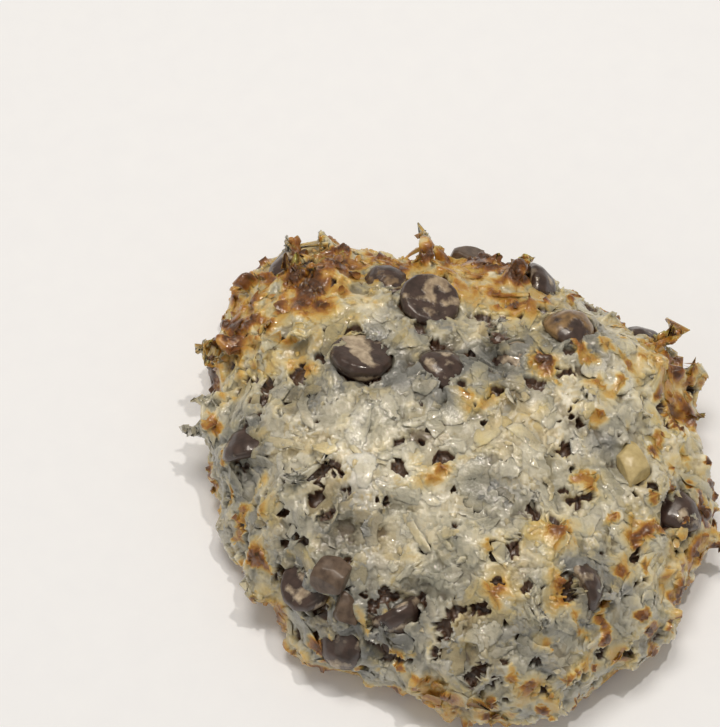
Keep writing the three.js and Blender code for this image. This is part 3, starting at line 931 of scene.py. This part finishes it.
def dress(made, material):
    """Gives a piece its finish, and leaves it riding on the cookie's one body."""
    made.data.materials.clear()
    made.data.materials.append(material)
    made.data.shade_smooth()
    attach(made, "root")
    print(made.name, sum(len(face.vertices) - 2 for face in made.data.polygons), "triangles")


aim_camera()
set_studio()

# The skin: the cookie with its chips and almonds as one form, which the coconut is laid on
skin = solids("skin", ["coconut_cookie"] + CHIPS + ALMONDS)
finished(skin, [
    ("REMESH", {"mode": "VOXEL", "voxel_size": SKIN_VOXEL * MM}),
    ("SMOOTH", {"factor": 0.5, "iterations": 16}),
])
skin_places = corners(skin.data)
bare = bare_at(skin_places)
side = smoothstep(0.6, 2.5, skin_places[:, 2])
clumps = 1.1 * (waves(skin_places, 4.5, 51) - 0.5) * side * (1 - bare)
skin_places = skin_places + clumps[:, None] * directions(skin.data)
put_corners(skin.data, skin_places)

chip_shapes = solids("chip_shapes", CHIPS)
chip_tree = tree_of(chip_shapes)
skin_tree = tree_of(skin)
toast = toast_at(skin_places)
milk = milk_at(skin_places, chip_tree)
open_faces = KDTree(int(bare.sum()))
for place in skin_places[bare > 0].tolist():
    open_faces.insert(place, 0)
open_faces.balance()

# What it is like from place to place, and how densely each kind of flake lies there
mark(skin.data, "toast", toast)
# The milk mark greys the coconut over chocolate, and as painted shade on the left in part and low in front
mark(skin.data, "milk", milk)
mark(skin.data, "bare", bare)
clear = smoothstep(*FOOT_CLEAR, skin_places[:, 2])
mark(skin.data, "pale", clear * np.clip(1.2 - toast, 0.15, 1))
mark(skin.data, "brown", clear * np.clip(toast * 1.4 - 0.3, 0, 1))
mark(skin.data, "everywhere", np.ones(len(skin_places)))
foot = 1 - smoothstep(5, 9, skin_places[:, 2])
mark(skin.data, "knobby", np.clip(np.maximum(1.6 * toast - 0.5, foot), 0, 1) * side)

bound = coconut_finish("coconut bound with sweet milk", 2.2 * MM)
loose = coconut_finish("moist flaked coconut", 0.6 * MM)
mat_sheets = flakes("mat_sheet", 24, (4.5, 9.5), (3.0, 5.5), (0.45, 0.65), 16, 4)
knobs = flakes("knob", 16, (2.0, 4.2), (1.5, 3.0), (1.2, 2.2), 6, 4)
sheets = flakes("sheet", 28, (4.0, 9.0), (2.0, 5.0), (0.13, 0.2), 8, 4)
shreds = flakes("shred", 20, (3.4, 8.0), (0.9, 1.8), (0.15, 0.22), 10, 3)
crumbs = flakes("crumb", 12, (1.0, 2.2), (0.8, 1.5), (0.4, 0.8), 3, 2)

# The mat: flakes fused with each other and with the dough under them, torn in layers, with small deep holes
tree = scatter_tree(loose)
fused_flakes = scattered("fused_flakes", tree, skin, {
    "Bed": skin, "Kinds": mat_sheets, "Where": "everywhere", "Spacing": 2.0 * MM,
    "Per square metre": 2.6e5, "Smallest": (0.6, 0.6, 0.8), "Largest": (1.1, 1.1, 1.2),
    "Lowest": -0.4 * MM, "Highest": 0.1 * MM, "Lean": 0.05, "Reach": 1.8 * MM, "Follow": 1.0, "Seed": 3,
})
fused_knobs = scattered("fused_knobs", tree, skin, {
    "Bed": skin, "Kinds": knobs, "Where": "knobby", "Spacing": 2.4 * MM,
    "Per square metre": 2.6e5, "Smallest": (0.6, 0.6, 0.6), "Largest": (1.1, 1.1, 1.1),
    "Lowest": -0.4 * MM, "Highest": 0.5 * MM, "Lean": 0.4, "Reach": 0.8 * MM, "Follow": 0.5, "Seed": 5,
})
curls = standing_flakes(skin_tree)
settle(fused_flakes, skin_tree, FLAKES_STAND)
settle(fused_knobs, skin_tree, KNOBS_STAND)
settle(curls, skin_tree, CURLS_STAND)
fused = joined("fused", [fused_flakes, fused_knobs, curls])
dough = new_object("dough", skin.data.copy())
depth = side * np.maximum(0.2, 1.1 * bare)
put_corners(dough.data, skin_places - depth[:, None] * directions(skin.data))
mat = joined("coconut_mat", [dough, fused])
finished(mat, [
    ("REMESH", {"mode": "VOXEL", "voxel_size": MAT_VOXEL * MM}),
    ("SMOOTH", {"factor": 0.5, "iterations": 2}),
])
tear(mat, skin_tree, chip_tree, open_faces)
bed = new_object("bed", mat.data.copy())  # a smoother mat, which the loose flakes follow
finished(bed, [("DECIMATE", {"ratio": 0.3}), ("SMOOTH", {"factor": 0.5, "iterations": 8})])
faces = sum(len(face.vertices) - 2 for face in mat.data.polygons)
finished(mat, [("DECIMATE", {"ratio": MAT_TRIANGLES / faces})])
take_marks(mat, fused, ("tone", "hue", "tip"))
take_marks(mat, skin, ("toast", "milk"))
describe(mat, skin_tree)
dress(mat, bound)
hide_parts("coconut_cookie")

# The loose flakes, shreds and crumbs that lie on the mat
for name, seed, values in (
    ("coconut_flakes", 11, {
        "Kinds": sheets, "Where": "pale", "Spacing": 5.6 * MM,
        "Smallest": (0.4, 0.4, 0.9), "Largest": (1.1, 1.1, 1.3),
        "Lowest": -0.05 * MM, "Highest": 0.2 * MM, "Lean": 0.05, "Reach": 1.6 * MM,
    }),
    ("coconut_shreds", 23, {
        "Kinds": shreds, "Where": "pale", "Spacing": 5.4 * MM,
        "Smallest": (0.4, 0.6, 0.9), "Largest": (1.0, 1.3, 1.3),
        "Lowest": -0.05 * MM, "Highest": 0.2 * MM, "Lean": 0.08, "Reach": 2.0 * MM,
    }),
    ("coconut_crumbs", 29, {
        "Kinds": crumbs, "Where": "pale", "Spacing": 4.5 * MM,
        "Smallest": (0.5, 0.5, 0.6), "Largest": (1.2, 1.2, 1.2),
        "Lowest": 0.0, "Highest": 0.3 * MM, "Lean": 0.4, "Reach": 0.4 * MM,
    }),
    ("toasted_flakes", 38, {
        "Kinds": sheets, "Where": "brown", "Spacing": 5.5 * MM,
        "Smallest": (0.3, 0.35, 1.2), "Largest": (0.5, 0.65, 2.0),
        "Lowest": 0.0, "Highest": 0.4 * MM, "Lean": 0.35, "Reach": 1.4 * MM,
    }),
    ("toasted_crumbs", 41, {
        "Kinds": crumbs, "Where": "brown", "Spacing": 3.0 * MM,
        "Smallest": (0.7, 0.7, 1.0), "Largest": (1.5, 1.5, 1.8),
        "Lowest": 0.0, "Highest": 0.5 * MM, "Lean": 0.5, "Reach": 0.4 * MM,
    }),
):
    laid = {**values, "Bed": bed, "Per square metre": 6e6, "Follow": 0.9, "Seed": seed}
    made = scattered(name, tree, skin, laid)
    settle(made, skin_tree, LOOSE_STAND)
    take_marks(made, skin, ("toast", "milk"))
    describe(made, skin_tree)
    dress(made, loose)

for spent in (chip_shapes, skin, bed, dough, fused_flakes, fused_knobs, curls, fused):
    bpy.data.objects.remove(spent)

# The chips, with dried milk on them
chips = solids("chocolate_chips", CHIPS)
finished(chips, [
    ("REMESH", {"mode": "VOXEL", "voxel_size": CHIP_VOXEL * MM}),
    ("SMOOTH", {"factor": 0.5, "iterations": 5}),
])
chip_places = corners(chips.data)
film = USUAL_FILM + 0.6 * (waves(chip_places, 2, 21) - 0.5)
for place, reach, amount in FILM:
    away = np.linalg.norm(chip_places - np.array(place), axis=1)
    film += amount * np.exp(-(away / reach) ** 2)
burnt = np.zeros(len(chip_places))
for node, amount in BROWNED.items():
    low, high = (np.array(corner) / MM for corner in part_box(node))
    own = np.all((chip_places > low - 0.5) & (chip_places < high + 0.5), axis=1)
    burnt[own] = amount
mark(chips.data, "film", film)
mark(chips.data, "burnt", burnt)
dress(chips, chocolate_finish())
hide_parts(*CHIPS)

# The almonds
almonds = solids("chopped_almonds", ALMONDS)
chop(almonds)
finished(almonds, [
    ("REMESH", {"mode": "VOXEL", "voxel_size": ALMOND_VOXEL * MM}),
    ("SMOOTH", {"factor": 0.5, "iterations": 1}),
])
almond_places = corners(almonds.data)
mark(almonds.data, "skin", (almond_places[:, 0] < PEELED_FROM).astype(float))
dress(almonds, almond_finish())
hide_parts(*ALMONDS)
